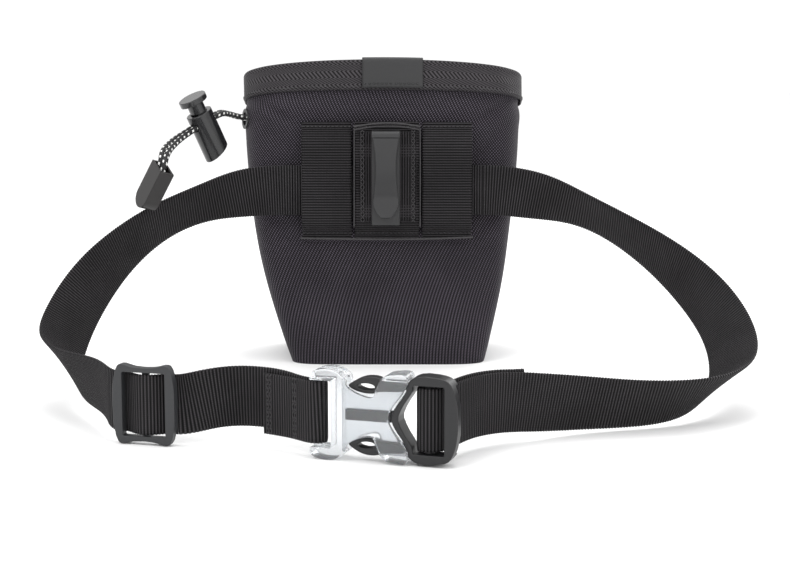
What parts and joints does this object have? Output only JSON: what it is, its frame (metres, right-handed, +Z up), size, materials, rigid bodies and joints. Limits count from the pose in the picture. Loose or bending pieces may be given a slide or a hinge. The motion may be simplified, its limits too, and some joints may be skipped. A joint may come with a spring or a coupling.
{
  "type": "treat pouch",
  "caption": "Open-topped fabric pouch with a drawstring and cord lock, belt loops and spring clip on its back, worn on a webbing waist belt with slider and side-release buckle.",
  "frame": {"origin": "centre of the pouch base's underside", "axes": "+Z up; +X along the pouch's width, to the right when looking at its back; -Y towards the wearer, where the belt ring and buckle lie; +Y the pouch's front"},
  "size_m": [0.3125, 0.2755, 0.1505],
  "materials": {
    "pouch_fabric": "coarse black woven nylon with a faint diagonal",
    "lining_fabric": "smooth dark lining fabric",
    "webbing": "black ribbed nylon webbing",
    "binding_tape": "black herringbone binding tape",
    "label_patch": "smooth dark grey coated patch, no lettering",
    "stiffener": "hidden plastic stay and board",
    "clip_metal": "matt black coated spring steel",
    "lock_plastic": "glossy black moulding",
    "spring_steel": "bright spring wire",
    "end_plastic": "dark grey-brown moulding",
    "cord": "black braided cord with white reflective flecks",
    "clear_plastic": "frosted clear moulding",
    "buckle_black": "satin black moulding",
    "slider_grey": "matt charcoal moulding"
  },
  "bodies": {
    "pouch": {"pouch_shell": "pouch_fabric", "base_panel": "pouch_fabric", "base_board": "stiffener", "pouch_lining": "lining_fabric", "rim_stiffener": "stiffener", "rim_binding": "binding_tape", "rim_label": "label_patch", "drawstring_collar": "lining_fabric", "drawcord_loop": "cord", "cord_eyelet": "clip_metal", "loop_patch": "pouch_fabric", "belt_loop_left": "webbing", "belt_loop_right": "webbing", "clip_panel": "webbing", "clip_holder": "webbing", "clip_plate": "clip_metal", "clip_rivets": "clip_metal", "cord_lock_body": "lock_plastic", "cord_lock_spring": "spring_steel", "cord_end_shell": "end_plastic", "cord_end_plug": "end_plastic", "drawcord_tail_one": "cord", "drawcord_tail_two": "cord"},
    "belt": {"belt_back": "webbing", "belt_left": "webbing", "belt_over_slider": "webbing", "belt_front": "webbing", "belt_fold": "webbing", "belt_right": "webbing", "belt_right_front": "webbing", "buckle_female": "clear_plastic"},
    "slider": {"belt_slider": "slider_grey"},
    "male_buckle": {"buckle_male": "buckle_black", "belt_ladder": "webbing", "belt_tail": "webbing"},
    "prong_upper": {"buckle_prong_upper": "buckle_black"},
    "prong_lower": {"buckle_prong_lower": "buckle_black"},
    "clip_tongue": {"clip_tongue": "clip_metal"},
    "lock_plunger": {"cord_lock_plunger": "lock_plastic"}
  },
  "joints": [
    {"name": "belt_through_loops", "type": "slide", "parent": "pouch", "child": "belt", "axis": [1, 0, 0], "range_m": [-0.01, 0.01]},
    {"name": "slider_on_belt", "type": "slide", "parent": "belt", "child": "slider", "axis": [0.9632, -0.2689, 0], "range_m": [-0.006, 0.006], "deforming": ["belt_over_slider"]},
    {"name": "buckle_pull_out", "type": "slide", "parent": "belt", "child": "male_buckle", "axis": [0.9505, -0.3107, 0], "range_m": [0, 0.03], "deforming": ["belt_right_front", "buckle_prong_upper", "buckle_prong_lower"]},
    {"name": "prong_upper_flex", "type": "hinge", "parent": "male_buckle", "child": "prong_upper", "pos_m": [0.00988, -0.22979, 0.0291], "axis": [-0.3107, -0.9505, 0], "range_deg": [0, 5], "stiffness_Nm_per_rad": 0.3, "springref_deg": -1.15},
    {"name": "prong_lower_flex", "type": "hinge", "parent": "male_buckle", "child": "prong_lower", "pos_m": [0.00988, -0.22979, 0.0059], "axis": [0.3107, 0.9505, 0], "range_deg": [0, 5], "stiffness_Nm_per_rad": 0.3, "springref_deg": -1.15},
    {"name": "clip_flex", "type": "hinge", "parent": "pouch", "child": "clip_tongue", "pos_m": [-0.001, -0.0487, 0.1124], "axis": [-1, 0, 0], "range_deg": [0, 12], "stiffness_Nm_per_rad": 1, "springref_deg": -1.15},
    {"name": "lock_press", "type": "slide", "parent": "pouch", "child": "lock_plunger", "axis": [0.3504, 0.3004, -0.8871], "range_m": [0, 0.0035], "stiffness_N_per_m": 400, "springref_m": -0.002, "deforming": ["cord_lock_spring"]}
  ]
}
